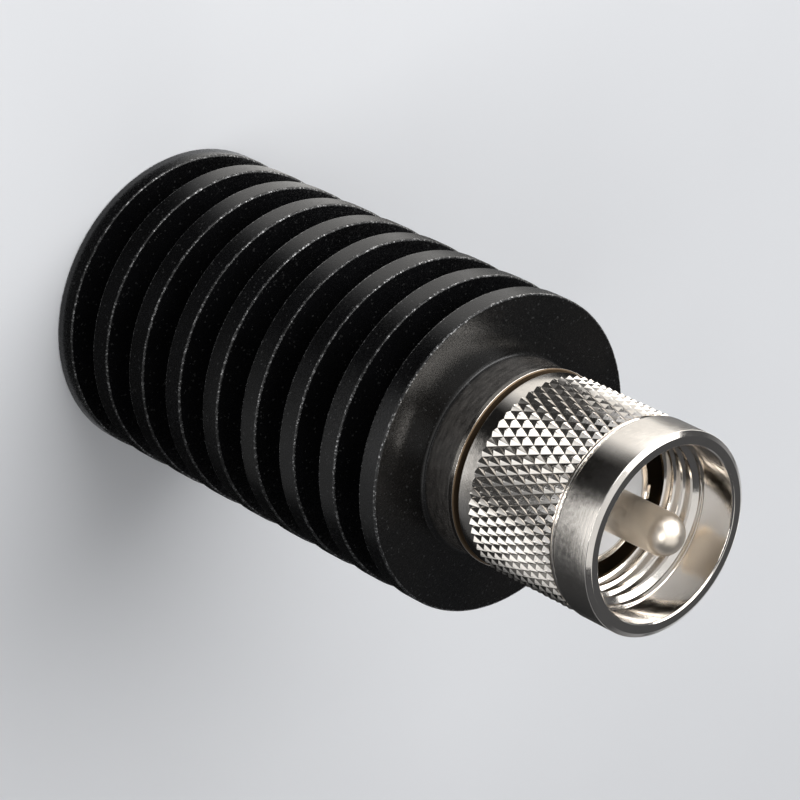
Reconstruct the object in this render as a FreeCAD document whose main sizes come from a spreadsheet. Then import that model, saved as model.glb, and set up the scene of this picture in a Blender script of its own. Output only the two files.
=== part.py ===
import FreeCAD, Part
import math
import os
import Sketcher
from types import SimpleNamespace

# Coaxial terminator: a finned heat sink with a plug at its front end.
# The part stands on its flat rear face at z = 0 and its axis runs up along Z.
# All lengths are in millimetres and all angles in degrees.

SIZES = {
    # heat sink
    "fin_radius": 15.0,
    "fin_thickness": 2.1,
    "fin_pitch": 5.39,
    "fin_count": 9,
    "core_radius": 9.0,
    "fin_edge": 0.18,
    "boss_radius": 9.25,
    "boss_length": 3.2,
    "boss_fillet": 0.45,
    "rear_wall": 6.0,
    "sleeve_bore": 6.5,
    "socket_bore": 7.0,
    "socket_depth": 10.9,
    # connector body
    "spigot_length": 10.5,
    "flange_step": 0.17,
    "flange_thickness": 0.65,
    "flange_edge": 0.12,
    "neck_step": 0.6,
    "neck_length": 7.5,
    "barrel_length": 1.25,
    "barrel_edge": 0.15,
    "barrel_wall": 0.7,
    "ledge_width": 0.7,
    "channel_length": 7.0,
    "tooth_width": 1.3,
    "tooth_length": 0.95,
    "tooth_inset": 0.08,
    # retaining ring and the float that it allows
    "ring_width": 0.65,
    "ring_thickness": 0.8,
    "ring_grip": 0.3,
    "ring_split": 1.6,
    "ring_to_flange": 1.35,
    "nut_float": 0.8,
    "stop_gap": 0.1,
    # coupling nut, with all its radii worked out from its thread
    "thread_crest_radius": 7.42,
    "thread_length": 4.75,
    "socket_space": 1.42,
    "bore_step": 0.63,
    "counterbore_step": 0.68,
    "counterbore_depth": 3.65,
    "nut_gap": 0.55,
    "rear_band_length": 1.58,
    "rear_band_step": 0.06,
    "rear_band_taper": 0.07,
    "nut_edge": 0.08,
    "knurl_wall": 1.02,
    "knurl_depth": 0.28,
    "knurl_length": 9.9,
    "knurl_pitch": 2.29,
    "knurl_count": 60,
    "knurl_angle": 4.59,
    "knurl_seat": 0.3,
    "relief_step": 0.17,
    "relief_length": 0.58,
    "front_ring_wall": 1.34,
    "front_ring_length": 4.35,
    "front_ring_edge": 0.25,
    "mouth_bevel": 0.47,
    "mouth_bevel_length": 0.3,
    "mouth_edge": 0.15,
    "lip_length": 2.8,
    # centre pin and insulators
    "pin_radius": 1.98,
    "pin_root_radius": 2.2,
    "pin_reach": 9.8,
    "collar_radius": 2.7,
    "collar_length": 1.2,
    "insulator_recess": 0.15,
    "front_insulator_length": 5.4,
    "tail_radius": 1.5,
    "tail_length": 7.0,
    "pin_socket_depth": 3.6,
    "slot_width": 0.35,
    "slot_depth": 2.8,
    # load resistor and its earth path
    "rod_radius": 2.5,
    "rod_length": 25.0,
    "cap_wall": 0.3,
    "cap_length": 3.5,
    "cap_end": 0.6,
    "front_stud_radius": 0.6,
    "front_stud_length": 3.8,
    "rear_stud_radius": 0.9,
    "rear_stud_length": 3.8,
    "cup_radius": 5.0,
    "cup_neck_radius": 2.3,
    "cup_floor": 2.0,
    "sleeve_throat": 3.5,
    "sleeve_mouth": 5.7,
    "sleeve_gap": 0.1,
    # clearances
    "seat_gap": 0.02,
    "running_gap": 0.08,
}

SHEET_NAME = "Sizes"
FULL_TURN = 360.0
QUARTER_TURN = 90.0
POINT_TOLERANCE = 1e-6
ANGLE_DIGITS = 6


class Size:
    """A length that holds its number together with the expression that gives it."""

    def __init__(self, number, text=None):
        self.number = number
        self.text = str(number) if text is None else text

    def __add__(self, other):
        other = as_size(other)
        return Size(self.number + other.number, f"({self.text} + {other.text})")

    def __sub__(self, other):
        other = as_size(other)
        return Size(self.number - other.number, f"({self.text} - {other.text})")

    def __mul__(self, other):
        other = as_size(other)
        return Size(self.number * other.number, f"({self.text} * {other.text})")


def as_size(value):
    return value if isinstance(value, Size) else Size(value)


def make_sheet(doc):
    sheet = doc.addObject("Spreadsheet::Sheet", SHEET_NAME)
    for row, (name, number) in enumerate(SIZES.items(), start=1):
        sheet.set(f"A{row}", name)
        sheet.set(f"B{row}", str(number))
        sheet.setAlias(f"B{row}", name)
    doc.recompute()
    return sheet


def named_sizes():
    return SimpleNamespace(**{name: Size(number, f"{SHEET_NAME}.{name}") for name, number in SIZES.items()})


def named_numbers(sheet):
    """The same names as plain numbers, read back from the sheet."""
    return SimpleNamespace(**{name: sheet.get(name) for name in SIZES})


def radii(s):
    """Radii of the plug, from its thread outwards and inwards."""
    r = SimpleNamespace()
    r.counterbore = s.thread_crest_radius + s.counterbore_step
    r.nut_bore = s.thread_crest_radius + s.bore_step
    r.front_ring = r.counterbore + s.front_ring_wall
    r.mouth_land = r.front_ring - s.mouth_bevel
    r.knurl_root = r.counterbore + s.knurl_wall
    r.knurl_tip = r.knurl_root + s.knurl_depth
    r.relief = r.knurl_root - s.relief_step
    r.rear_band = r.knurl_root + s.rear_band_step
    r.flange = r.rear_band + s.flange_step
    r.barrel = s.thread_crest_radius - s.socket_space
    r.neck = r.barrel + s.neck_step
    r.insulator_bore = r.barrel - s.barrel_wall
    r.channel = r.insulator_bore - s.ledge_width
    return r


def stations(s):
    """Heights of the faces that neighbouring pieces share, all measured from the rear face."""
    z = SimpleNamespace()
    z.face = (s.fin_count - 1) * s.fin_pitch + s.fin_thickness
    z.boss = z.face + s.boss_length
    z.socket_floor = z.boss - s.socket_depth
    z.flange = z.boss + s.flange_thickness
    z.shoulder = z.flange + s.neck_length
    z.barrel = z.shoulder + s.barrel_length
    z.spigot = z.boss - s.spigot_length
    z.ledge = z.spigot + s.channel_length
    z.ring_rear = z.flange + s.ring_to_flange
    z.ring_front = z.ring_rear + s.ring_thickness
    z.nut_rear = z.flange + s.nut_gap
    z.knurl_rear = z.nut_rear + s.rear_band_length
    z.knurl_front = z.knurl_rear + s.knurl_length
    z.front_ring = z.knurl_front + s.relief_length
    z.mouth = z.front_ring + s.front_ring_length
    z.thread_front = z.mouth - s.counterbore_depth
    z.thread_rear = z.thread_front - s.thread_length
    z.insulator_front = z.barrel - s.insulator_recess
    z.tip = z.insulator_front + s.pin_reach
    z.collar_front = z.insulator_front - s.front_insulator_length
    z.collar_rear = z.collar_front - s.collar_length
    z.tail_end = z.collar_rear - s.tail_length
    z.cap_front = z.tail_end - s.sleeve_gap
    z.rod_front = z.cap_front - s.cap_end
    z.rod_rear = z.rod_front - s.rod_length
    z.cap_rear = z.rod_rear - s.cap_end
    return z


def origin_plane(body, role):
    return next(item for item in body.Origin.OriginFeatures if item.Role == role)


def new_body(doc, label):
    body = doc.addObject("PartDesign::Body", label)
    body.Label = label
    body.Placement = FreeCAD.Placement()
    return body


def attach(sketch, body, role):
    sketch.AttachmentSupport = (origin_plane(body, role), [""])
    sketch.MapMode = "FlatFace"


def arc_through(start, end, radius, turns_left):
    """Circular arc of a given radius from start to end, drawn anticlockwise between its own ends."""
    chord = end - start
    height = math.sqrt(max(radius ** 2 - (chord.Length / 2) ** 2, 0.0))
    side = FreeCAD.Vector(-chord.y, chord.x, 0).normalize() * (height if turns_left else -height)
    centre = (start + end) * 0.5 + side
    first, last = (start, end) if turns_left else (end, start)
    angles = [math.atan2(point.y - centre.y, point.x - centre.x) for point in (first, last)]
    if angles[1] < angles[0]:
        angles[1] += math.tau
    circle = Part.Circle(centre, FreeCAD.Vector(0, 0, 1), radius)
    return Part.ArcOfCircle(circle, angles[0], angles[1])


def hold(sketch, kind, geometry, position, length):
    """Ties one coordinate of a vertex to its size, or to the axis where the size is zero."""
    if length.number == 0:
        axis = -2 if kind == "DistanceX" else -1
        sketch.addConstraint(Sketcher.Constraint("PointOnObject", geometry, position, axis))
        return
    index = sketch.addConstraint(Sketcher.Constraint(kind, -1, 1, geometry, position, length.number))
    sketch.setExpression(f"Constraints[{index}]", length.text)


def outline(body, name, points, arcs=None, role="XZ_Plane"):
    """Closed sketch through the points, with arcs given as {edge number: (radius, turns left)}."""
    arcs = arcs or {}
    sketch = body.newObject("Sketcher::SketchObject", name)
    attach(sketch, body, role)
    points = [(as_size(across), as_size(along)) for across, along in points]
    corners = [FreeCAD.Vector(across.number, along.number, 0) for across, along in points]
    count = len(corners)
    ends = []
    for index in range(count):
        start, end = corners[index], corners[(index + 1) % count]
        if index in arcs:
            radius, turns_left = arcs[index]
            sketch.addGeometry(arc_through(start, end, radius.number, turns_left), False)
            ends.append((1, 2) if turns_left else (2, 1))
        else:
            sketch.addGeometry(Part.LineSegment(start, end), False)
            ends.append((1, 2))
    for index in range(count):
        following = (index + 1) % count
        joint = Sketcher.Constraint("Coincident", index, ends[index][1], following, ends[following][0])
        sketch.addConstraint(joint)
    for index, (across, along) in enumerate(points):
        hold(sketch, "DistanceX", index, ends[index][0], across)
        hold(sketch, "DistanceY", index, ends[index][0], along)
    for index, (radius, _) in arcs.items():
        number = sketch.addConstraint(Sketcher.Constraint("Radius", index, radius.number))
        sketch.setExpression(f"Constraints[{number}]", radius.text)
    return sketch


def turn(body, sketch, name, kind="PartDesign::Revolution"):
    """Full revolution, or full turned groove, of a sketch about the Z axis."""
    feature = body.newObject(kind, name)
    feature.Profile = sketch
    feature.ReferenceAxis = (sketch, ["V_Axis"])
    feature.Angle = FULL_TURN
    sketch.Visibility = False
    return feature


def turned_piece(doc, label, points, arcs=None):
    body = new_body(doc, label)
    sketch = outline(body, f"{label}_outline", points, arcs)
    turn(body, sketch, f"{label}_turning")
    return body


def rectangle(body, name, x_low, x_high, half_width, height):
    """Rectangle on the XY plane, symmetric about the X axis, lifted to a height."""
    sketch = body.newObject("Sketcher::SketchObject", name)
    attach(sketch, body, "XY_Plane")
    x_low, x_high, half_width, height = (as_size(v) for v in (x_low, x_high, half_width, height))
    sketch.AttachmentOffset = FreeCAD.Placement(FreeCAD.Vector(0, 0, height.number), FreeCAD.Rotation())
    sketch.setExpression("AttachmentOffset.Base.z", height.text)
    low, high, half = x_low.number, x_high.number, half_width.number
    corners = [FreeCAD.Vector(x, y, 0) for x, y in ((low, -half), (high, -half), (high, half), (low, half))]
    for index in range(4):
        sketch.addGeometry(Part.LineSegment(corners[index], corners[(index + 1) % 4]), False)
    for index in range(4):
        sketch.addConstraint(Sketcher.Constraint("Coincident", index, 2, (index + 1) % 4, 1))
    for index, kind in ((0, "Horizontal"), (2, "Horizontal"), (3, "Vertical")):
        sketch.addConstraint(Sketcher.Constraint(kind, index))
    # The outer edge is upright because its ends mirror each other about the X axis.
    sketch.addConstraint(Sketcher.Constraint("Symmetric", 1, 1, 1, 2, -1))
    width = sketch.addConstraint(Sketcher.Constraint("DistanceY", 1, 1, 1, 2, 2 * half))
    sketch.setExpression(f"Constraints[{width}]", (half_width * 2).text)
    reach = sketch.addConstraint(Sketcher.Constraint("DistanceX", -1, 1, 1, 1, high))
    sketch.setExpression(f"Constraints[{reach}]", x_high.text)
    length = sketch.addConstraint(Sketcher.Constraint("DistanceX", 3, 1, 1, 1, high - low))
    sketch.setExpression(f"Constraints[{length}]", (x_high - x_low).text)
    return sketch


def extrude(body, sketch, name, kind, length, upwards=True):
    """Pad or pocket from a sketch. A pocket cuts downwards unless it is reversed."""
    feature = body.newObject(kind, name)
    feature.Profile = sketch
    feature.Length = length.number
    feature.setExpression("Length", length.text)
    feature.Reversed = upwards if kind == "PartDesign::Pocket" else not upwards
    sketch.Visibility = False
    return feature


def repeat_round(body, feature, sketch, name, angle, count):
    pattern = body.newObject("PartDesign::PolarPattern", name)
    pattern.Originals = [feature]
    pattern.Axis = (sketch, ["N_Axis"])
    pattern.Angle = angle
    pattern.Occurrences = count
    body.Tip = pattern
    return pattern


def cut_cross_slots(body, label, reach, s, start, depth, upwards):
    """Two crossed slots that split the wall of a socket into four springy leaves."""
    sketch = rectangle(body, f"{label}_slot", reach * -1, reach, s.slot_width * 0.5, start)
    pocket = extrude(body, sketch, f"{label}_slot_cut", "PartDesign::Pocket", depth, upwards)
    repeat_round(body, pocket, sketch, f"{label}_slots", QUARTER_TURN, 2)


def make_heat_sink(doc, s, r, z):
    """Finned cylinder with a boss at the front and a stepped bore for the load."""
    edge = s.fin_edge
    profile = [
        (0, 0),
        (s.fin_radius - edge, 0),
        (s.fin_radius, edge),
        (s.fin_radius, z.face - edge),
        (s.fin_radius - edge, z.face),
        (s.boss_radius + s.boss_fillet, z.face),
        (s.boss_radius, z.face + s.boss_fillet),
        (s.boss_radius, z.boss - edge),
        (s.boss_radius - edge, z.boss),
        (s.socket_bore, z.boss),
        (s.socket_bore, z.socket_floor),
        (s.sleeve_bore, z.socket_floor),
        (s.sleeve_bore, s.rear_wall),
        (0, s.rear_wall),
    ]
    body = turned_piece(doc, "heat_sink", profile, {5: (s.boss_fillet, False)})
    # The gap between two fins is wider at its mouth, which bevels the fins' edges.
    clear = edge * 2
    gap = [
        (s.core_radius, s.fin_thickness),
        (s.fin_radius - edge, s.fin_thickness),
        (s.fin_radius + edge, s.fin_thickness - clear),
        (s.fin_radius + edge, s.fin_pitch + clear),
        (s.fin_radius - edge, s.fin_pitch),
        (s.core_radius, s.fin_pitch),
    ]
    sketch = outline(body, "fin_gap_outline", gap)
    groove = turn(body, sketch, "fin_gap", "PartDesign::Groove")
    pattern = body.newObject("PartDesign::LinearPattern", "fin_gaps")
    pattern.Originals = [groove]
    pattern.Direction = (sketch, ["V_Axis"])
    length = (s.fin_count - 2) * s.fin_pitch
    pattern.Length = length.number
    pattern.setExpression("Length", length.text)
    pattern.Occurrences = int(s.fin_count.number) - 1
    pattern.setExpression("Occurrences", (s.fin_count - 1).text)
    body.Tip = pattern
    return body


def make_connector_body(doc, s, r, z):
    """Spigot, flange, neck with the ring's groove, and the barrel round the insulator."""
    spigot = s.socket_bore - s.seat_gap
    groove_floor = r.neck - s.ring_width
    groove_rear = z.ring_rear - s.stop_gap
    groove_front = z.ring_front + s.nut_float + s.stop_gap
    edge = s.flange_edge
    profile = [
        (r.channel, z.spigot),
        (spigot - s.fin_edge, z.spigot),
        (spigot, z.spigot + s.fin_edge),
        (spigot, z.boss),
        (r.flange - edge, z.boss),
        (r.flange, z.boss + edge),
        (r.flange, z.flange - edge),
        (r.flange - edge, z.flange),
        (r.neck, z.flange),
        (r.neck, groove_rear),
        (groove_floor, groove_rear),
        (groove_floor, groove_front),
        (r.neck, groove_front),
        (r.neck, z.shoulder),
        (r.barrel, z.shoulder),
        (r.barrel, z.barrel - s.barrel_edge),
        (r.barrel - s.barrel_edge, z.barrel),
        (r.insulator_bore, z.barrel),
        (r.insulator_bore, z.ledge),
        (r.channel, z.ledge),
    ]
    body = turned_piece(doc, "connector_body", profile)
    middle_of_wall = (r.barrel + r.insulator_bore) * 0.5
    outer = r.neck - s.tooth_inset
    sketch = rectangle(body, "tooth_outline", middle_of_wall, outer, s.tooth_width * 0.5, z.shoulder)
    tooth = extrude(body, sketch, "tooth", "PartDesign::Pad", s.tooth_length)
    repeat_round(body, tooth, sketch, "teeth", FULL_TURN, 2)
    return body


def make_retaining_ring(doc, s, r, z):
    """Split ring that sits half in the neck's groove and half in the nut's."""
    inner = r.neck - s.ring_grip
    outer = inner + s.ring_width
    section = [(inner, z.ring_rear), (outer, z.ring_rear), (outer, z.ring_front), (inner, z.ring_front)]
    body = turned_piece(doc, "retaining_ring", section)
    sketch = rectangle(body, "split_outline", inner * 0.5, outer * 2, s.ring_split * 0.5, z.ring_rear)
    extrude(body, sketch, "split", "PartDesign::Pocket", s.ring_thickness, upwards=True)
    return body


def make_turned_nut(doc, s, r, z):
    """Nut as it is turned, before its knurl is rolled: rear lip, stepped outside, threaded mouth."""
    lip = r.neck + s.running_gap
    lip_front = z.nut_rear + s.lip_length
    groove_rear = z.ring_rear - s.seat_gap * 2
    groove_front = z.ring_front + s.seat_gap * 2
    groove_radius = r.neck - s.ring_grip + s.ring_width + s.stop_gap
    profile = [
        (lip, z.nut_rear),
        (r.rear_band - s.nut_edge, z.nut_rear),
        (r.rear_band, z.nut_rear + s.nut_edge),
        (r.rear_band - s.rear_band_taper, z.knurl_rear),
        (r.relief, z.knurl_rear),
        (r.relief, z.front_ring),
        (r.front_ring - s.front_ring_edge, z.front_ring),
        (r.front_ring, z.front_ring + s.front_ring_edge),
        (r.front_ring, z.mouth - s.mouth_bevel_length),
        (r.mouth_land, z.mouth),
        (r.counterbore + s.mouth_edge, z.mouth),
        (r.counterbore, z.mouth - s.mouth_edge),
        (r.counterbore, z.thread_front),
        (s.thread_crest_radius, z.thread_front - s.counterbore_step),
        (s.thread_crest_radius, z.thread_rear),
        (r.nut_bore, z.thread_rear),
        (r.nut_bore, lip_front),
        (lip, lip_front),
        (lip, groove_front),
        (groove_radius, groove_front),
        (groove_radius, groove_rear),
        (lip, groove_rear),
    ]
    return turned_piece(doc, "turned_nut", profile)


def below(points, height):
    """Part of a flat facet that lies below a height."""
    kept = []
    for start, end in zip(points, points[1:] + points[:1]):
        if start.z <= height:
            kept.append(start)
        if (start.z - height) * (end.z - height) < 0:
            kept.append(start + (end - start) * ((height - start.z) / (end.z - start.z)))
    return kept


def make_knurl(doc, n, r, z):
    """Band of diamond pyramids that two families of crossed V-grooves leave standing."""
    columns = 2 * int(n.knurl_count)
    step = n.knurl_pitch / 2
    rows = math.ceil(n.knurl_length / step)

    def corner(row, column):
        radius = r.knurl_tip if (row + column) % 2 else r.knurl_root
        angle = math.radians(n.knurl_angle) + math.tau * (column % columns) / columns
        return FreeCAD.Vector(radius * math.cos(angle), radius * math.sin(angle), z.knurl_rear + row * step)

    facets = []
    for row in range(rows):
        for column in range(columns):
            near, far = corner(row, column), corner(row, column + 1)
            high, over = corner(row + 1, column), corner(row + 1, column + 1)
            if (row + column) % 2:
                facets += [[near, far, high], [far, over, high]]
            else:
                facets += [[near, far, over], [near, over, high]]
    facets = [below(facet, z.knurl_front) for facet in facets]
    facets = [facet for facet in facets if len(facet) > 2]
    faces = [Part.Face(Part.makePolygon(facet + facet[:1])) for facet in facets]

    # The band is closed by a bore that lies inside the turned nut, and by flat ends.
    bore = Part.Circle(FreeCAD.Vector(), FreeCAD.Vector(0, 0, 1), r.relief - n.knurl_seat)
    for height in (z.knurl_rear, z.knurl_front):
        rim = {}
        for point in (point for facet in facets for point in facet):
            if abs(point.z - height) < POINT_TOLERANCE:
                rim[round(math.atan2(point.y, point.x), ANGLE_DIGITS)] = point
        ordered = [rim[angle] for angle in sorted(rim)]
        outer = Part.makePolygon(ordered + ordered[:1])
        inner = Part.Wire(bore.toShape())
        inner.translate(FreeCAD.Vector(0, 0, height))
        faces.append(Part.makeFace([outer, inner], "Part::FaceMakerBullseye"))
    wall = Part.makeCylinder(bore.Radius, n.knurl_length, FreeCAD.Vector(0, 0, z.knurl_rear)).Faces[0]
    shell = Part.makeShell(faces + [wall])
    shell.sewShape()
    knurl = doc.addObject("Part::Feature", "knurl")
    knurl.Shape = Part.makeSolid(shell)
    return knurl


def make_coupling_nut(doc, s, r, z):
    """The turned nut with its knurled band as one solid."""
    turned = make_turned_nut(doc, s, r, z)
    numbers = named_numbers(doc.getObject(SHEET_NAME))
    knurl = make_knurl(doc, numbers, radii(numbers), stations(numbers))
    nut = doc.addObject("Part::Fuse", "coupling_nut")
    nut.Base = turned
    nut.Tool = knurl
    nut.Label = "coupling_nut"
    return nut


def make_front_insulator(doc, s, r, z):
    """Bead pressed over the pin's thicker root, just behind the barrel's rim."""
    bore = s.pin_root_radius + s.seat_gap
    outer = r.insulator_bore - s.seat_gap
    profile = [
        (bore, z.collar_front),
        (outer, z.collar_front),
        (outer, z.insulator_front),
        (bore, z.insulator_front),
    ]
    return turned_piece(doc, "front_insulator", profile)


def make_rear_insulator(doc, s, r, z):
    """Bead that rests on the ledge and is recessed for the pin's collar."""
    bore = s.tail_radius + s.seat_gap
    recess = s.collar_radius + s.seat_gap
    outer = r.insulator_bore - s.seat_gap
    profile = [
        (bore, z.ledge),
        (outer, z.ledge),
        (outer, z.collar_front),
        (recess, z.collar_front),
        (recess, z.collar_rear),
        (bore, z.collar_rear),
    ]
    return turned_piece(doc, "rear_insulator", profile)


def make_centre_pin(doc, s, r, z):
    """Round-nosed pin with a collar between the insulators and a slotted socket at its tail."""
    hole = s.front_stud_radius + s.seat_gap
    profile = [
        (hole, z.tail_end),
        (s.tail_radius, z.tail_end),
        (s.tail_radius, z.collar_rear),
        (s.collar_radius, z.collar_rear),
        (s.collar_radius, z.collar_front),
        (s.pin_root_radius, z.collar_front),
        (s.pin_root_radius, z.insulator_front),
        (s.pin_radius, z.insulator_front),
        (s.pin_radius, z.tip - s.pin_radius),
        (0, z.tip),
        (0, z.tail_end + s.pin_socket_depth + s.sleeve_gap),
        (hole, z.tail_end + s.pin_socket_depth + s.sleeve_gap),
    ]
    body = turned_piece(doc, "centre_pin", profile, {8: (s.pin_radius, True)})
    cut_cross_slots(body, "pin", s.collar_radius, s, z.tail_end, s.slot_depth, upwards=True)
    return body


def make_load_rod(doc, s, r, z):
    rod = doc.addObject("Part::Cylinder", "load_rod")
    rod.Label = "load_rod"
    rod.setExpression("Radius", s.rod_radius.text)
    rod.setExpression("Height", s.rod_length.text)
    rod.setExpression("Placement.Base.z", z.rod_rear.text)
    return rod


def make_front_cap(doc, s, r, z):
    """Cup over the rod's live end, with the stud that plugs into the pin's socket."""
    inner = s.rod_radius + s.seat_gap
    outer = inner + s.cap_wall
    profile = [
        (inner, z.cap_front - s.cap_length),
        (outer, z.cap_front - s.cap_length),
        (outer, z.cap_front),
        (s.front_stud_radius, z.cap_front),
        (s.front_stud_radius, z.cap_front + s.front_stud_length - s.seat_gap),
        (0, z.cap_front + s.front_stud_length - s.seat_gap),
        (0, z.rod_front),
        (inner, z.rod_front),
    ]
    return turned_piece(doc, "front_cap", profile)


def make_rear_cap(doc, s, r, z):
    """Cup over the rod's earthed end, with the stud that the contact grips."""
    inner = s.rod_radius + s.seat_gap
    outer = inner + s.cap_wall
    profile = [
        (0, z.cap_rear - s.rear_stud_length),
        (s.rear_stud_radius, z.cap_rear - s.rear_stud_length),
        (s.rear_stud_radius, z.cap_rear),
        (outer, z.cap_rear),
        (outer, z.cap_rear + s.cap_length),
        (inner, z.cap_rear + s.cap_length),
        (inner, z.rod_rear),
        (0, z.rod_rear),
    ]
    return turned_piece(doc, "rear_cap", profile)


def make_outer_sleeve(doc, s, r, z):
    """Outer conductor whose bore widens towards the live end of the resistor."""
    outer = s.sleeve_bore - s.seat_gap
    cup_seat = s.cup_radius + s.seat_gap
    cup_top = s.rear_wall + s.cup_floor + s.sleeve_gap
    profile = [
        (cup_seat, s.rear_wall),
        (outer, s.rear_wall),
        (outer, z.socket_floor),
        (s.sleeve_mouth, z.socket_floor),
        (s.sleeve_throat, cup_top),
        (cup_seat, cup_top),
    ]
    return turned_piece(doc, "outer_sleeve", profile)


def make_ground_contact(doc, s, r, z):
    """Cup on the bore's floor with a slotted neck that grips the rear stud."""
    socket = s.rear_stud_radius + s.seat_gap
    base = s.rear_wall
    neck_top = z.cap_rear - s.sleeve_gap
    step = base + s.cup_floor
    profile = [
        (0, base),
        (s.cup_radius, base),
        (s.cup_radius, step),
        (s.cup_neck_radius, step),
        (s.cup_neck_radius, neck_top),
        (socket, neck_top),
        (socket, z.cap_rear - s.rear_stud_length - s.sleeve_gap),
        (0, z.cap_rear - s.rear_stud_length - s.sleeve_gap),
    ]
    body = turned_piece(doc, "ground_contact", profile)
    cut_cross_slots(body, "contact", s.cup_radius, s, neck_top, s.slot_depth, upwards=False)
    return body


MAKERS = (
    make_heat_sink,
    make_connector_body,
    make_retaining_ring,
    make_coupling_nut,
    make_front_insulator,
    make_rear_insulator,
    make_centre_pin,
    make_load_rod,
    make_front_cap,
    make_rear_cap,
    make_outer_sleeve,
    make_ground_contact,
)


def check(doc, pieces):
    for item in doc.Objects:
        if "Invalid" in item.State or "Error" in item.State:
            raise RuntimeError(f"{item.Label} did not build: {item.State}")
    for piece in pieces:
        if piece.Shape.isNull() or not piece.Shape.isValid():
            raise RuntimeError(f"{piece.Label} has no valid shape")
        if len(piece.Shape.Solids) != 1:
            raise RuntimeError(f"{piece.Label} is {len(piece.Shape.Solids)} solids")


def main():
    doc = FreeCAD.newDocument("coaxial_terminator")
    make_sheet(doc)
    s = named_sizes()
    r = radii(s)
    z = stations(s)
    pieces = [maker(doc, s, r, z) for maker in MAKERS]
    doc.recompute()
    check(doc, pieces)
    os.makedirs("parts", exist_ok=True)
    for piece in pieces:
        piece.Shape.exportStep(f"parts/{piece.Label}.step")
        box = piece.Shape.BoundBox
        print(f"{piece.Label}: volume {piece.Shape.Volume:.2f}, z {box.ZMin:.3f} to {box.ZMax:.3f}, "
              f"width {box.XLength:.3f}")


main()
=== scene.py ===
import math

import bmesh
import bpy
from mathutils import Matrix, Vector


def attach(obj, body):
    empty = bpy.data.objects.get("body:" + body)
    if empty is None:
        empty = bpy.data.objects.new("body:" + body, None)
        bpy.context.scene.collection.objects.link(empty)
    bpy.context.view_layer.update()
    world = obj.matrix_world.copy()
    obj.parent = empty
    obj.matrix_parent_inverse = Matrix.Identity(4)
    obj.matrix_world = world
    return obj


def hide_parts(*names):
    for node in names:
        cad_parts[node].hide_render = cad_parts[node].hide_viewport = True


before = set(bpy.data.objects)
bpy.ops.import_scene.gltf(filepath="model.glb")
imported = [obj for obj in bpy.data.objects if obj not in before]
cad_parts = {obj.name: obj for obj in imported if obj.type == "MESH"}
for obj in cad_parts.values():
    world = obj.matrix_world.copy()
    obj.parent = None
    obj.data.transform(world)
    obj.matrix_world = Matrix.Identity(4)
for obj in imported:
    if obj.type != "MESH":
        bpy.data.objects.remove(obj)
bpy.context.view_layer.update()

# Coaxial terminator standing on its flat rear face, seen with the camera rolled on its side.
# Lengths below are in millimetres and are turned into metres where a mesh is made.
MM = 0.001

# Camera, measured round the standing part.
VIEW_AZIMUTH = 154.8
VIEW_ELEVATION = 42.34
VIEW_ROLL = 116.08
VIEW_DISTANCE = 358.76
VIEW_AIM = (0.16, 0.34, 31.45)
LENS = 176.98
SENSOR = 36.0

# Studio: lamps aim at the object's middle, and a bowl of glowing card round it paints reflections only.
AIM = (0, 0, 33)
WARM = (1.0, 0.98, 0.95)
NEUTRAL = (1.0, 1.0, 1.0)
COOL = (0.95, 0.97, 1.0)
BOWL_INNER_RADIUS = 15.4
BOWL_STEP_RADIUS = 38
BOWL_RADIUS = 56
BOWL_FLOOR = 0.3
FOOT_WALL_TOP = 9
LOWER_WALL_TOP = 19.5
MIDDLE_WALL_TOP = 27.5
UPPER_WALL_TOP = 46
BOWL_COLUMNS = 72
FLOOR_HALF = 1500
FLOOR_DROP = 0.02

# Materials that several pieces share. The grain of the black coating is counted per metre.
NICKEL = {"light": (0.78, 0.74, 0.69), "dark": (0.71, 0.67, 0.62), "rough_low": 0.09, "rough_high": 0.16}
GRAIN_SCALE = 6500

# Heat sink.
FIN_RADIUS = 15.0
FIN_THICKNESS = 2.1
FIN_PITCH = 5.39
FIN_COUNT = 9
CORE_RADIUS = 9.0
BOSS_RADIUS = 9.25
BOSS_LENGTH = 3.2
BOSS_FILLET = 0.45
FIN_EDGE = 0.18
SOCKET_RADIUS = 7.0
SOCKET_DEPTH = 10.9
SLEEVE_RADIUS = 6.5
REAR_WALL = 6.0
SINK_FRONT = (FIN_COUNT - 1) * FIN_PITCH + FIN_THICKNESS
BOSS_FRONT = SINK_FRONT + BOSS_LENGTH
BOSS_EDGE = 0.1

# Connector body: the flange in front of the boss, and the shoulder at the front end of its neck.
FLANGE_THICKNESS = 0.65
SHOULDER = 56.57

# Coupling nut. A crisp or soft edge is the rounding of a turned corner, and a step is the short
# slope between a patterned stretch and the smooth one beside it.
NUT_REAR = 49.62
NUT_LENGTH = 16.41
LIP_RADIUS = 6.68
LIP_LENGTH = 2.8
NUT_BORE = 8.05
REAR_BAND_RADIUS = 9.2
REAR_BAND_TAPER = 0.13
REAR_BAND_LENGTH = 1.58
KNURL_LENGTH = 9.9
KNURL_COUNT = 60
KNURL_PITCH = 2.29
KNURL_ANGLE = math.radians(4.59)
KNURL_TOP = 9.4
KNURL_DEPTH = 0.28
KNURL_BLUNT = 0.95
RELIEF_LENGTH = 0.58
RELIEF_RADIUS = 8.95
RELIEF_SLOPE = 0.1
RING_RADIUS = 9.44
RING_EDGE = 0.22
RING_ROUNDING = 0.1
LAND_RADIUS = 8.97
BEVEL_LENGTH = 0.3
COUNTERBORE_RADIUS = 8.1
COUNTERBORE_DEPTH = 3.65
MOUTH_EDGE = 0.15
MOUTH_ROUNDING = 0.04
CRISP_EDGE = 0.05
SOFT_EDGE = 0.08
STEP_LENGTH = 0.03
THREAD_LENGTH = 4.75
THREAD_PITCH = 1.16
THREAD_ROOT = 7.95
THREAD_CREST = 7.42
THREAD_CREST_FLAT = 0.2
THREAD_FLANK = 0.27
THREAD_ENTRY = 0.55
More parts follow.
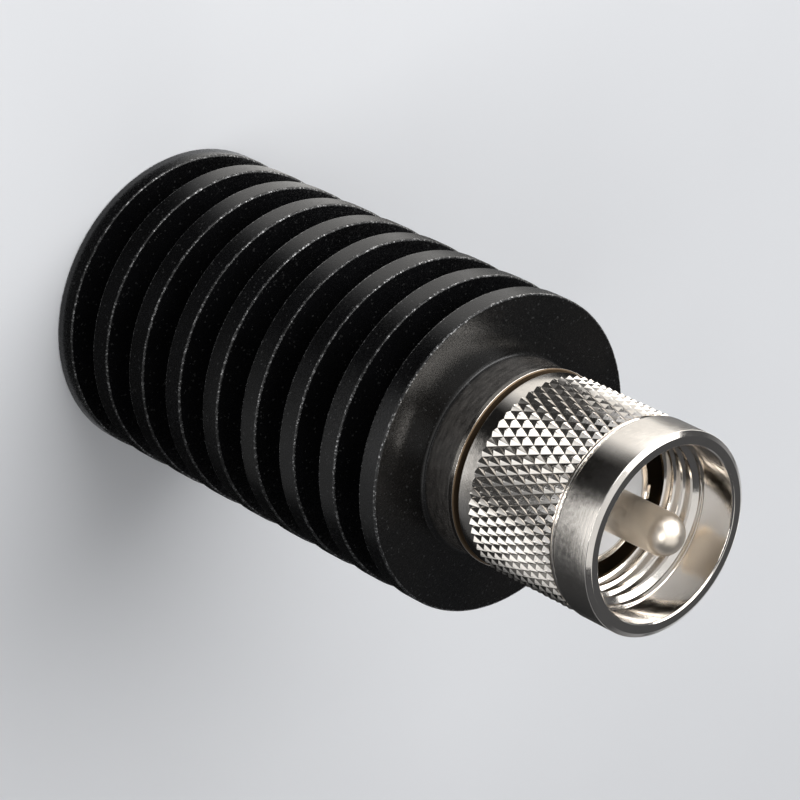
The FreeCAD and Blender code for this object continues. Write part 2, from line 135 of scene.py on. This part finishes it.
THREAD_SOFTENING = 0.03

# Fineness of the meshes.
COLUMNS_PER_DIAMOND = 8
ROWS_PER_DIAMOND = 8
SINK_COLUMNS = 192
ARC_STEPS = 4
SUPPORT = 0.02
MERGE = 0.0005
SHARP_SKIN = math.radians(27)


def arc_path(corners):
    """Open profile through corners (radius, height, rounding). Each rounding is a short curve between two
    support points, so that the long faces beside it stay flat when they are shaded."""
    path = []
    rounded = []
    for index, (across, along, rounding) in enumerate(corners):
        here = Vector((across, along))
        if rounding == 0 or index in (0, len(corners) - 1):
            path.append(tuple(here))
            rounded.append(False)
            continue
        before = (Vector(corners[index - 1][:2]) - here).normalized()
        after = (Vector(corners[index + 1][:2]) - here).normalized()
        path.append(tuple(here + before * (rounding + SUPPORT)))
        rounded.append(False)
        start, end = here + before * rounding, here + after * rounding
        for step in range(ARC_STEPS + 1):
            share = step / ARC_STEPS
            path.append(tuple(start.lerp(here, share).lerp(here.lerp(end, share), share)))
            rounded.append(step < ARC_STEPS)
        path.append(tuple(here + after * (rounding + SUPPORT)))
        rounded.append(False)
    return path, rounded


def constant(point):
    """Row of the skin that keeps one radius and height all the way round."""
    return lambda turn: point


def skin(name, rows, columns, closed, start=0.0):
    """Mesh from rows of the object's skin. Each row gives a radius and a height for a share of a turn."""
    grid = []
    for row in rows:
        for column in range(columns + 1):
            turn = column / columns
            radius, height = row(turn)
            angle = start + math.tau * (column % columns) / columns
            grid.append((radius * math.cos(angle) * MM, radius * math.sin(angle) * MM, height * MM, radius))
    width = columns + 1
    faces = []
    owners = []
    last = len(rows) if closed else len(rows) - 1
    for index in range(last):
        above = (index + 1) % len(rows)
        for column in range(columns):
            a, b = index * width + column, index * width + column + 1
            c, d = above * width + column + 1, above * width + column
            fall = grid[a][3] + grid[c][3] - grid[b][3] - grid[d][3]
            if abs(fall) < 1e-6:
                pieces = [(a, b, c, d)]
            elif fall < 0:
                pieces = [(a, b, c), (a, c, d)]
            else:
                pieces = [(a, b, d), (b, c, d)]
            faces += pieces
            owners += [index] * len(pieces)
    mesh = bpy.data.meshes.new(name)
    mesh.from_pydata([point[:3] for point in grid], [], faces)
    mesh.attributes.new("row", "INT", "FACE").data.foreach_set("value", owners)
    work = bmesh.new()
    work.from_mesh(mesh)
    bmesh.ops.remove_doubles(work, verts=work.verts, dist=MERGE * MM)
    bmesh.ops.dissolve_degenerate(work, edges=work.edges, dist=MERGE * MM * 0.5)
    bmesh.ops.recalc_face_normals(work, faces=work.faces)
    work.to_mesh(mesh)
    work.free()
    mesh.shade_smooth()
    mesh.set_sharp_from_angle(angle=SHARP_SKIN)
    item = bpy.data.objects.new(name, mesh)
    bpy.context.scene.collection.objects.link(item)
    return item


def triangle_wave(value):
    """0 on whole numbers and 1 half-way between them."""
    return 1 - abs(2 * (value - math.floor(value)) - 1)


def knurl_row(height, rear):
    """Crossed V-grooves. The pyramids between them keep slightly blunt tips."""
    def row(turn):
        first = triangle_wave(turn * KNURL_COUNT + (height - rear) / KNURL_PITCH)
        second = triangle_wave(turn * KNURL_COUNT - (height - rear) / KNURL_PITCH)
        raised = min(first, second, KNURL_BLUNT) / KNURL_BLUNT
        return KNURL_TOP - KNURL_DEPTH * (1 - raised), height
    return row


def thread_section():
    """One pitch of the thread, from front to rear, as (share of the pitch, radius)."""
    crest_front = 1 - THREAD_CREST_FLAT
    return [
        (0.0, THREAD_CREST), (THREAD_SOFTENING, THREAD_CREST),
        (THREAD_FLANK, THREAD_ROOT), (THREAD_FLANK + THREAD_SOFTENING, THREAD_ROOT),
        (crest_front - THREAD_FLANK, THREAD_ROOT), (crest_front, THREAD_CREST),
    ]


def thread_rows(front, rear):
    """Right-handed thread whose rows follow the helix and end on the flat faces at both ends."""
    section = thread_section()
    shares = [share for share, _ in section] + [1.0]
    radii = [radius for _, radius in section] + [section[0][1]]

    def radius_at(turn, height):
        share = (turn - height / THREAD_PITCH) % 1.0
        for low, high, first, second in zip(shares, shares[1:], radii, radii[1:]):
            if share <= high:
                return first + (second - first) * (share - low) / (high - low)
        return radii[-1]

    def row_at(number, share):
        def row(turn):
            height = THREAD_PITCH * (turn - share - number)
            held = min(max(height, rear), front)
            radius = radius_at(turn, held)
            entry = THREAD_ENTRY - (front - held)
            return max(radius, THREAD_CREST + max(0.0, entry)), held
        return row

    first = math.floor(-front / THREAD_PITCH) - 1
    last = math.ceil(-rear / THREAD_PITCH) + 1
    rows = []
    for number in range(first, last + 1):
        rows += [row_at(number, share) for share, _ in section]
    return rows


def nut_rows():
    """Rows of the nut's skin, from the rear face round the outside, through the mouth and back, with the
    numbers of the first and last of them that belong to the knurl."""
    knurl_rear = NUT_REAR + REAR_BAND_LENGTH
    knurl_front = knurl_rear + KNURL_LENGTH
    ring_rear = knurl_front + RELIEF_LENGTH
    mouth = NUT_REAR + NUT_LENGTH
    thread_front = mouth - COUNTERBORE_DEPTH
    thread_rear = thread_front - THREAD_LENGTH
    lip_front = NUT_REAR + LIP_LENGTH
    rear, _ = arc_path([
        (LIP_RADIUS, NUT_REAR, 0), (REAR_BAND_RADIUS, NUT_REAR, SOFT_EDGE),
        (REAR_BAND_RADIUS - REAR_BAND_TAPER, knurl_rear - STEP_LENGTH, 0),
    ])
    front, _ = arc_path([
        (KNURL_TOP - KNURL_DEPTH, knurl_front, 0),
        (RELIEF_RADIUS, knurl_front + RELIEF_SLOPE, CRISP_EDGE),
        (RELIEF_RADIUS, ring_rear - RELIEF_SLOPE, SOFT_EDGE),
        (RING_RADIUS - RING_EDGE, ring_rear, CRISP_EDGE),
        (RING_RADIUS, ring_rear + RING_EDGE, RING_ROUNDING),
        (RING_RADIUS, mouth - BEVEL_LENGTH, CRISP_EDGE),
        (LAND_RADIUS, mouth, CRISP_EDGE),
        (COUNTERBORE_RADIUS + MOUTH_EDGE, mouth, MOUTH_ROUNDING),
        (COUNTERBORE_RADIUS, mouth - MOUTH_EDGE, CRISP_EDGE),
        (COUNTERBORE_RADIUS, thread_front + STEP_LENGTH, 0),
    ])
    bore, _ = arc_path([(NUT_BORE, thread_rear, 0), (NUT_BORE, lip_front, 0), (LIP_RADIUS, lip_front, 0)])
    step = KNURL_PITCH / ROWS_PER_DIAMOND
    heights = [knurl_rear + step * index for index in range(math.ceil(KNURL_LENGTH / step))] + [knurl_front]
    rows = [constant(point) for point in rear]
    first = len(rows)
    rows += [knurl_row(height, knurl_rear) for height in heights]
    last = len(rows) - 1
    rows += [constant(point) for point in front]
    rows += thread_rows(thread_front, thread_rear)
    rows += [constant(point) for point in bore]
    return rows, first, last


def make_nut():
    """One closed skin: rear band, diamond knurl, relief, front ring, counterbore and thread."""
    rows, first, last = nut_rows()
    item = skin("coupling_nut_skin", rows, KNURL_COUNT * COLUMNS_PER_DIAMOND, True, KNURL_ANGLE)
    owners = item.data.attributes["row"].data
    for index, polygon in enumerate(item.data.polygons):
        if first - 1 <= owners[index].value <= last:
            polygon.use_smooth = False
    return item


def make_heat_sink():
    """Fins, front face and boss. The fins' rounded rims and the front have finishes of their own."""
    corners = [(0, 0, 0)]
    for fin in range(FIN_COUNT):
        low = fin * FIN_PITCH
        if fin > 0:
            corners.append((CORE_RADIUS, low, 0))
        corners += [(FIN_RADIUS, low, FIN_EDGE), (FIN_RADIUS, low + FIN_THICKNESS, FIN_EDGE)]
        if fin < FIN_COUNT - 1:
            corners.append((CORE_RADIUS, low + FIN_THICKNESS, 0))
    corners += [
        (BOSS_RADIUS, SINK_FRONT, BOSS_FILLET), (BOSS_RADIUS, BOSS_FRONT, BOSS_EDGE),
        (SOCKET_RADIUS, BOSS_FRONT, 0), (SOCKET_RADIUS, BOSS_FRONT - SOCKET_DEPTH, 0),
        (SLEEVE_RADIUS, BOSS_FRONT - SOCKET_DEPTH, 0), (SLEEVE_RADIUS, REAR_WALL, 0), (0, REAR_WALL, 0),
    ]
    path, rounded = arc_path(corners)
    item = skin("heat_sink_skin", [constant(point) for point in path], SINK_COLUMNS, False)
    rows = item.data.attributes["row"].data
    for face_index, polygon in enumerate(item.data.polygons):
        on_rim = math.hypot(*polygon.center[:2]) > (FIN_RADIUS - 2 * FIN_EDGE) * MM
        if rounded[rows[face_index].value] and on_rim:
            polygon.material_index = 1
        elif polygon.center.z > (SINK_FRONT - 0.005) * MM:
            polygon.material_index = 2
    return item


def new_material(name):
    material = bpy.data.materials.new(name)
    material.use_nodes = True
    nodes = material.node_tree.nodes
    shader = nodes["Principled BSDF"]
    return material, nodes, material.node_tree.links, shader


def noise(nodes, links, scale, detail=2.0, stretch=(1, 1, 1)):
    place = nodes.new("ShaderNodeTexCoord")
    mapping = nodes.new("ShaderNodeMapping")
    mapping.inputs["Scale"].default_value = stretch
    texture = nodes.new("ShaderNodeTexNoise")
    texture.inputs["Scale"].default_value = scale
    texture.inputs["Detail"].default_value = detail
    links.new(place.outputs["Object"], mapping.inputs["Vector"])
    links.new(mapping.outputs["Vector"], texture.inputs["Vector"])
    return texture.outputs["Fac"]


def span(nodes, links, value, low, high, start=0.3, end=0.7):
    """Maps a value's range from start to end onto low to high."""
    node = nodes.new("ShaderNodeMapRange")
    node.inputs["From Min"].default_value = start
    node.inputs["From Max"].default_value = end
    node.inputs["To Min"].default_value = low
    node.inputs["To Max"].default_value = high
    links.new(value, node.inputs["Value"])
    return node.outputs["Result"]


def product(nodes, links, first, second):
    node = nodes.new("ShaderNodeMath")
    node.operation = "MULTIPLY"
    links.new(first, node.inputs[0])
    links.new(second, node.inputs[1])
    return node.outputs["Value"]


def blend_colour(nodes, links, value, first, second):
    """Mix of two plain colours."""
    mix = nodes.new("ShaderNodeMix")
    mix.data_type = "RGBA"
    mix.inputs["A"].default_value = (*first, 1)
    mix.inputs["B"].default_value = (*second, 1)
    links.new(value, mix.inputs["Factor"])
    return mix.outputs["Result"]


def mix_colour(nodes, links, value, first, second):
    """Mix of a colour that comes from a node and a plain one."""
    mix = nodes.new("ShaderNodeMix")
    mix.data_type = "RGBA"
    mix.inputs["B"].default_value = (*second, 1)
    links.new(value, mix.inputs["Factor"])
    links.new(first, mix.inputs["A"])
    return mix.outputs["Result"]


def recolour(nodes, links, shader, value, colour):
    """Lays a plain colour over the shader's own one, where value is 1."""
    before = shader.inputs["Base Color"].links[0].from_socket
    links.new(mix_colour(nodes, links, value, before, colour), shader.inputs["Base Color"])


def bump(nodes, links, shader, height, distance, base=None):
    """Relief whose depth is given in millimetres. It returns a normal, so that a finer one can sit on it."""
    node = nodes.new("ShaderNodeBump")
    node.inputs["Distance"].default_value = distance * MM
    node.inputs["Strength"].default_value = 1.0
    links.new(height, node.inputs["Height"])
    if base is not None:
        links.new(base, node.inputs["Normal"])
    links.new(node.outputs["Normal"], shader.inputs["Normal"])
    return node.outputs["Normal"]


def metal(name, light, dark, rough_low, rough_high, lines=0.002, grain=0.001):
    """Turned metal: faint rings round the axis, a fine grain and slow changes of tone."""
    material, nodes, links, shader = new_material(name)
    shader.inputs["Metallic"].default_value = 1.0
    slow = span(nodes, links, noise(nodes, links, 350, 3), 0, 1)
    links.new(blend_colour(nodes, links, slow, dark, light), shader.inputs["Base Color"])
    fine = noise(nodes, links, 2500, 2)
    links.new(span(nodes, links, fine, rough_low, rough_high), shader.inputs["Roughness"])
    rings = noise(nodes, links, 60, 3, (1, 1, 180))
    normal = bump(nodes, links, shader, rings, lines)
    bump(nodes, links, shader, noise(nodes, links, 6000, 1), grain, base=normal)
    return material


def cell_tone(nodes, links, scale):
    """Random tone from 0 to 1 for each small grain of the surface, and the grain's relief."""
    place = nodes.new("ShaderNodeTexCoord")
    cells = nodes.new("ShaderNodeTexVoronoi")
    cells.inputs["Scale"].default_value = scale
    links.new(place.outputs["Object"], cells.inputs["Vector"])
    tone = nodes.new("ShaderNodeSeparateColor")
    links.new(cells.outputs["Color"], tone.inputs["Color"])
    return tone.outputs["Red"], cells.outputs["Distance"]


def height_of(nodes, links):
    place = nodes.new("ShaderNodeTexCoord")
    split = nodes.new("ShaderNodeSeparateXYZ")
    links.new(place.outputs["Object"], split.inputs["Vector"])
    return split.outputs["Z"]


def above(nodes, links, low, high):
    """0 below one height of the object and 1 above another, both in millimetres."""
    return span(nodes, links, height_of(nodes, links), 0, 1, low * MM, high * MM)


def black_anodised(name, dark, light, specular, rough_low, rough_high, grain_depth):
    """Blasted and dyed surface: fine grain that breaks reflections up, with a few paler grains."""
    material, nodes, links, shader = new_material(name)
    shader.inputs["Specular IOR Level"].default_value = specular
    slow = noise(nodes, links, 150, 3)
    colour = blend_colour(nodes, links, span(nodes, links, slow, 0, 1), dark, light)
    tone, relief = cell_tone(nodes, links, GRAIN_SCALE)
    pale = span(nodes, links, tone, 0, 1, 0.98, 0.985)
    links.new(mix_colour(nodes, links, pale, colour, (0.02, 0.02, 0.02)), shader.inputs["Base Color"])
    links.new(span(nodes, links, tone, rough_low, rough_high, 0, 1), shader.inputs["Roughness"])
    coarse = bump(nodes, links, shader, noise(nodes, links, 3500, 3), grain_depth)
    bump(nodes, links, shader, relief, grain_depth * 0.6, base=coarse)
    return material


def turned_face(name):
    """Front face and boss: smoother than the fins' rims, the boss made paler in patches by a painted sheen.
    """
    material = black_anodised(
        name, dark=(0.002, 0.002, 0.002), light=(0.005, 0.0045, 0.004), specular=0.5,
        rough_low=0.18, rough_high=0.3, grain_depth=0.006)
    nodes, links = material.node_tree.nodes, material.node_tree.links
    boss = above(nodes, links, SINK_FRONT + 0.2, SINK_FRONT + 0.6)
    sheen_patches = span(nodes, links, noise(nodes, links, 900, 4, (1, 1, 4)), 0.3, 1.0)
    painted_boss_sheen = product(nodes, links, boss, sheen_patches)
    # Painted sheen: the boss's colour is lightened in streaky patches.
    recolour(nodes, links, nodes["Principled BSDF"], painted_boss_sheen, (0.080, 0.074, 0.068))
    return material


def worn_edge(name):
    """Rounded edges of the fins, where bare aluminium shows through in specks."""
    material, nodes, links, shader = new_material(name)
    tone, relief = cell_tone(nodes, links, GRAIN_SCALE * 1.2)
    bare = span(nodes, links, tone, 0, 1, 0.72, 0.92)
    colour = blend_colour(nodes, links, bare, (0.006, 0.006, 0.006), (0.32, 0.32, 0.32))
    links.new(colour, shader.inputs["Base Color"])
    links.new(bare, shader.inputs["Metallic"])
    shader.inputs["Roughness"].default_value = 0.32
    coarse = bump(nodes, links, shader, noise(nodes, links, 3500, 3), 0.014)
    bump(nodes, links, shader, relief, 0.014, base=coarse)
    return material


def knurled_metal(name):
    """Nickel of the nut, with painted shade darkening it in the bottoms of the knurl's grooves."""
    material = metal(name, **NICKEL)
    nodes, links = material.node_tree.nodes, material.node_tree.links
    place = nodes.new("ShaderNodeTexCoord")
    flat = nodes.new("ShaderNodeVectorMath")
    flat.operation = "MULTIPLY"
    flat.inputs[1].default_value = (1, 1, 0)
    links.new(place.outputs["Object"], flat.inputs[0])
    radius = nodes.new("ShaderNodeVectorMath")
    radius.operation = "LENGTH"
    links.new(flat.outputs["Vector"], radius.inputs[0])
    root = KNURL_TOP - KNURL_DEPTH
    knurl_rear = NUT_REAR + REAR_BAND_LENGTH
    knurl_front = knurl_rear + KNURL_LENGTH
    masks = [
        span(nodes, links, radius.outputs["Value"], 0, 1, (root - 0.12) * MM, (root - 0.10) * MM),
        span(nodes, links, radius.outputs["Value"], 1, 0, root * MM, (root + 0.08 * KNURL_DEPTH) * MM),
        above(nodes, links, knurl_rear - 0.02, knurl_rear),
        span(nodes, links, height_of(nodes, links), 1, 0, knurl_front * MM, (knurl_front + 0.02) * MM),
    ]
    painted_groove_shade = masks[0]
    for mask in masks[1:]:
        painted_groove_shade = product(nodes, links, painted_groove_shade, mask)
    # Painted shade: the colour is darkened near the bottoms of the knurl's grooves, along the knurl's
    # length.
    recolour(nodes, links, nodes["Principled BSDF"], painted_groove_shade, (0.26, 0.24, 0.22))
    return material


def plug_metal(name):
    """Nickel of the plug's body, with painted shade in dull brown on the flange's front face and on the
    neck, which are rougher there too.
    """
    material = metal(name, **NICKEL)
    nodes, links = material.node_tree.nodes, material.node_tree.links
    shader = nodes["Principled BSDF"]
    flange_front = BOSS_FRONT + FLANGE_THICKNESS
    front = above(nodes, links, flange_front - 0.11, flange_front - 0.09)
    beyond = above(nodes, links, SHOULDER + 0.02, SHOULDER + 0.04)
    painted_gap_shade = nodes.new("ShaderNodeMath")
    painted_gap_shade.operation = "SUBTRACT"
    links.new(front, painted_gap_shade.inputs[0])
    links.new(beyond, painted_gap_shade.inputs[1])
    # Painted shade: dark brown colour from the flange's front face to the shoulder, between boss and nut.
    recolour(nodes, links, shader, painted_gap_shade.outputs["Value"], (0.17, 0.12, 0.075))
    rough = shader.inputs["Roughness"].links[0].from_socket
    duller = nodes.new("ShaderNodeMix")
    duller.inputs["B"].default_value = 0.55
    links.new(painted_gap_shade.outputs["Value"], duller.inputs["Factor"])
    links.new(rough, duller.inputs["A"])
    links.new(duller.outputs["Result"], shader.inputs["Roughness"])
    return material


def plastic(name, light, dark, rough):
    material, nodes, links, shader = new_material(name)
    slow = span(nodes, links, noise(nodes, links, 500, 3), 0, 1)
    links.new(blend_colour(nodes, links, slow, dark, light), shader.inputs["Base Color"])
    fine = noise(nodes, links, 3000)
    links.new(span(nodes, links, fine, rough * 0.85, rough * 1.15), shader.inputs["Roughness"])
    bump(nodes, links, shader, noise(nodes, links, 2500, 3), 0.004)
    return material


def floor_material():
    material, nodes, links, shader = new_material("pale_floor")
    slow = span(nodes, links, noise(nodes, links, 12, 3), 0, 1)
    colour = blend_colour(nodes, links, slow, (0.66, 0.67, 0.69), (0.71, 0.72, 0.74))
    links.new(colour, shader.inputs["Base Color"])
    shader.inputs["Roughness"].default_value = 0.8
    return material


def dress_nodes(materials):
    for node, slot in materials.items():
        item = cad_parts[node]
        item.data.materials.clear()
        item.data.materials.append(slot)


def make_floor():
    half = FLOOR_HALF * MM
    corners = [(-half, -half, 0), (half, -half, 0), (half, half, 0), (-half, half, 0)]
    mesh = bpy.data.meshes.new("floor")
    mesh.from_pydata(corners, [], [(0, 1, 2, 3)])
    floor = bpy.data.objects.new("floor", mesh)
    floor.location.z = -FLOOR_DROP * MM
    mesh.materials.append(floor_material())
    bpy.context.scene.collection.objects.link(floor)


def aloft(azimuth, elevation, distance):
    """Place at a distance from the object's middle. Its azimuth is counted from the camera's side."""
    angle = math.radians(VIEW_AZIMUTH + azimuth)
    rise = math.radians(elevation)
    level = Vector((math.cos(angle), math.sin(angle), 0)) * math.cos(rise)
    return (Vector(AIM) + (level + Vector((0, 0, math.sin(rise)))) * distance) * MM


def glow_material(name, stations):
    """Light whose level and tint change round the object. A station gives an angle in degrees from the
    camera's side, a level and a tint."""
    material = bpy.data.materials.new(name)
    material.use_nodes = True
    nodes = material.node_tree.nodes
    links = material.node_tree.links
    nodes.clear()
    place = nodes.new("ShaderNodeTexCoord")
    around = nodes.new("ShaderNodeTexGradient")
    around.gradient_type = "RADIAL"
    ramp = nodes.new("ShaderNodeValToRGB")
    elements = ramp.color_ramp.elements
    while len(elements) < len(stations):
        elements.new(0.5)
    for element, (angle, level, tint) in zip(elements, stations):
        element.position = 0.5 + angle / 360
        element.color = (*[level * part for part in tint], 1)
    glow = nodes.new("ShaderNodeEmission")
    output = nodes.new("ShaderNodeOutputMaterial")
    links.new(place.outputs["Object"], around.inputs["Vector"])
    links.new(around.outputs["Fac"], ramp.inputs["Fac"])
    links.new(ramp.outputs["Color"], glow.inputs["Color"])
    links.new(glow.outputs["Emission"], output.inputs["Surface"])
    return material


def make_card(name, first, second, stations):
    """One glowing band of the bowl, between two rings given as (radius, height), seen only in reflections.
    """
    vertices = []
    for radius, height in (first, second):
        for column in range(BOWL_COLUMNS):
            angle = math.tau * column / BOWL_COLUMNS
            vertices.append(Vector((radius * math.cos(angle), radius * math.sin(angle), height)) * MM)
    faces = []
    for column in range(BOWL_COLUMNS):
        beside = (column + 1) % BOWL_COLUMNS
        faces.append((column, beside, BOWL_COLUMNS + beside, BOWL_COLUMNS + column))
    mesh = bpy.data.meshes.new(f"reflection_glow_{name}")
    mesh.from_pydata(vertices, [], faces)
    mesh.materials.append(glow_material(f"glow_{name}", stations))
    card = bpy.data.objects.new(f"reflection_glow_{name}", mesh)
    card.rotation_euler.z = math.radians(VIEW_AZIMUTH)
    # Painted reflection: the card glows, yet lights nothing and casts no shadow; only glossy rays see it.
    card.visible_camera = False
    card.visible_diffuse = False
    card.visible_transmission = False
    card.visible_shadow = False
    card.visible_volume_scatter = False
    bpy.context.scene.collection.objects.link(card)


def make_reflection_glow():
    """Bowl of glowing studio card round the object, a painted reflection that only shows in reflections: its
    floor, which the fins see, its lower and middle walls, which the smooth bands see, and its upper wall,
    for the knurl."""
    sector = [
        (-180, 0.12, NEUTRAL), (-148, 0.22, NEUTRAL), (-131, 0.26, NEUTRAL), (-120, 0.50, WARM),
        (-110, 1.1, WARM), (-66, 1.05, WARM), (-54, 0.45, NEUTRAL), (-46, 0.12, NEUTRAL),
        (-38, 0.012, NEUTRAL),
    ]
    inner_floor = [
        (-180, 0.02, NEUTRAL), (-140, 0.04, NEUTRAL), (-122, 0.45, WARM), (-108, 1.1, WARM),
        (-68, 1.1, WARM), (-54, 0.45, NEUTRAL), (-46, 0.12, NEUTRAL), (-36, 0.02, NEUTRAL),
        (20, 0.06, NEUTRAL), (80, 0.01, NEUTRAL), (180, 0.01, NEUTRAL),
    ]
    outer_floor = sector + [
        (-8, 0.03, NEUTRAL), (22, 0.2, NEUTRAL), (48, 0.36, NEUTRAL), (76, 0.25, NEUTRAL),
        (96, 0.01, COOL), (180, 0.01, NEUTRAL),
    ]
    lower_wall = sector + [
        (-12, 0.01, NEUTRAL), (-6, 0.3, NEUTRAL), (2, 1.35, NEUTRAL), (32, 1.35, NEUTRAL),
        (46, 0.55, NEUTRAL), (62, 0.25, COOL), (84, 0.10, COOL), (140, 0.02, COOL),
        (180, 0.08, NEUTRAL),
    ]
    middle_wall = sector + [
        (-10, 0.01, NEUTRAL), (3, 0.05, NEUTRAL), (14, 0.42, NEUTRAL), (30, 0.42, NEUTRAL),
        (42, 0.18, NEUTRAL), (62, 0.09, COOL), (84, 0.05, COOL), (140, 0.02, COOL),
        (180, 0.10, NEUTRAL),
    ]
    upper_wall = [
        (-180, 0.8, NEUTRAL), (-148, 2.6, NEUTRAL), (-128, 3.2, WARM), (-80, 3.2, WARM),
        (-66, 1.4, NEUTRAL), (-54, 0.05, NEUTRAL), (-10, 0.05, NEUTRAL), (-2, 0.3, NEUTRAL),
        (10, 1.7, NEUTRAL), (36, 1.7, NEUTRAL), (54, 1.1, NEUTRAL), (72, 0.3, COOL),
        (88, 0.04, COOL), (112, 0.10, COOL), (135, 0.6, COOL), (180, 0.5, NEUTRAL),
    ]
    edges = [
        (BOWL_INNER_RADIUS, BOWL_FLOOR), (BOWL_STEP_RADIUS, BOWL_FLOOR), (BOWL_RADIUS, BOWL_FLOOR),
        (BOWL_RADIUS, FOOT_WALL_TOP), (BOWL_RADIUS, LOWER_WALL_TOP), (BOWL_RADIUS, MIDDLE_WALL_TOP),
        (BOWL_RADIUS, UPPER_WALL_TOP),
    ]
    bands = [
        ("inner_floor", inner_floor), ("outer_floor", outer_floor), ("foot_wall", outer_floor),
        ("lower_wall", lower_wall), ("middle_wall", middle_wall), ("upper_wall", upper_wall),
    ]
    for (name, stations), first, second in zip(bands, edges, edges[1:]):
        make_card(name, first, second, stations)


def area_light(name, place, width, height, power):
    """Rectangular lamp that points at the object's middle. Its sides are in millimetres."""
    data = bpy.data.lights.new(name, "AREA")
    data.shape = "RECTANGLE"
    data.size = width * MM
    data.size_y = height * MM
    data.energy = power
    lamp = bpy.data.objects.new(name, data)
    lamp.location = place
    lamp.rotation_euler = (Vector(AIM) * MM - place).to_track_quat("-Z", "Y").to_euler()
    lamp.visible_camera = False
    bpy.context.scene.collection.objects.link(lamp)
    return lamp


def make_world():
    world = bpy.data.worlds.new("studio")
    bpy.context.scene.world = world
    world.use_nodes = True
    nodes = world.node_tree.nodes
    links = world.node_tree.links
    place = nodes.new("ShaderNodeTexCoord")
    split = nodes.new("ShaderNodeSeparateXYZ")
    ramp = nodes.new("ShaderNodeValToRGB")
    ramp.color_ramp.elements[0].position = 0.06
    ramp.color_ramp.elements[0].color = (0.30, 0.305, 0.32, 1)
    ramp.color_ramp.elements[1].position = 0.35
    ramp.color_ramp.elements[1].color = (0.08, 0.082, 0.087, 1)
    links.new(place.outputs["Generated"], split.inputs["Vector"])
    links.new(split.outputs["Z"], ramp.inputs["Fac"])
    links.new(ramp.outputs["Color"], nodes["Background"].inputs["Color"])
    nodes["Background"].inputs["Strength"].default_value = 1.0


def make_camera():
    azimuth, rise = math.radians(VIEW_AZIMUTH), math.radians(VIEW_ELEVATION)
    back = Vector((math.cos(azimuth) * math.cos(rise), math.sin(azimuth) * math.cos(rise), math.sin(rise)))
    level = Vector((0, 0, 1)).cross(back).normalized()
    upright = back.cross(level)
    roll = math.radians(VIEW_ROLL)
    up = upright * math.cos(roll) - level * math.sin(roll)
    right = level * math.cos(roll) + upright * math.sin(roll)
    data = bpy.data.cameras.new("camera")
    data.lens = LENS
    data.sensor_width = SENSOR
    data.clip_start = 0.01
    data.clip_end = 10
    camera = bpy.data.objects.new("camera", data)
    turn = Matrix((right, up, back)).transposed().to_4x4()
    turn.translation = (Vector(VIEW_AIM) + back * VIEW_DISTANCE) * MM
    camera.matrix_world = turn
    bpy.context.scene.collection.objects.link(camera)
    bpy.context.scene.camera = camera


make_camera()
make_world()
make_floor()

nickel = knurled_metal("nickel")
plug_nickel = plug_metal("plug_nickel")
pin_metal = metal(
    "pin_metal", light=(1.0, 0.90, 0.77), dark=(0.94, 0.84, 0.71), rough_low=0.33, rough_high=0.44,
    lines=0.003, grain=0.0006)
bronze = metal(
    "spring_bronze", light=(0.60, 0.42, 0.22), dark=(0.50, 0.33, 0.16), rough_low=0.25, rough_high=0.4)
brass = metal(
    "turned_brass", light=(0.70, 0.55, 0.28), dark=(0.60, 0.46, 0.22), rough_low=0.22, rough_high=0.35)
tin = metal(
    "tin_plating", light=(0.76, 0.76, 0.75), dark=(0.68, 0.68, 0.67), rough_low=0.25, rough_high=0.4)
aluminium = metal(
    "turned_aluminium", light=(0.75, 0.75, 0.77), dark=(0.66, 0.66, 0.68), rough_low=0.25, rough_high=0.4)
anodised = black_anodised(
    "black_anodised", dark=(0.0015, 0.0015, 0.0017), light=(0.003, 0.003, 0.0035), specular=0.45,
    rough_low=0.2, rough_high=0.32, grain_depth=0.005)
anodised_face = turned_face("black_anodised_face")
worn_rim = worn_edge("black_anodised_edge")
ptfe = plastic("ptfe", light=(0.84, 0.85, 0.87), dark=(0.78, 0.79, 0.81), rough=0.35)
ceramic = plastic("resistor_ceramic", light=(0.80, 0.78, 0.72), dark=(0.72, 0.70, 0.64), rough=0.5)

dress_nodes({
    "heat_sink": anodised,
    "connector_body": plug_nickel,
    "retaining_ring": bronze,
    "coupling_nut": nickel,
    "front_insulator": ptfe,
    "rear_insulator": ptfe,
    "centre_pin": pin_metal,
    "load_rod": ceramic,
    "front_cap": tin,
    "rear_cap": tin,
    "outer_sleeve": aluminium,
    "ground_contact": brass,
})

nut = make_nut()
nut.data.materials.append(nickel)
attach(nut, "nut")
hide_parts("coupling_nut")

sink = make_heat_sink()
sink.data.materials.append(anodised)
sink.data.materials.append(worn_rim)
sink.data.materials.append(anodised_face)
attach(sink, "load")
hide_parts("heat_sink")

make_reflection_glow()
area_light("overhead", aloft(0, 90, 600), width=700, height=700, power=1.2)
area_light("key", aloft(-76, 43, 500), width=640, height=440, power=3.4)
area_light("front", aloft(22, 41, 500), width=260, height=110, power=0.6)

scene = bpy.context.scene
scene.view_settings.view_transform = "Standard"
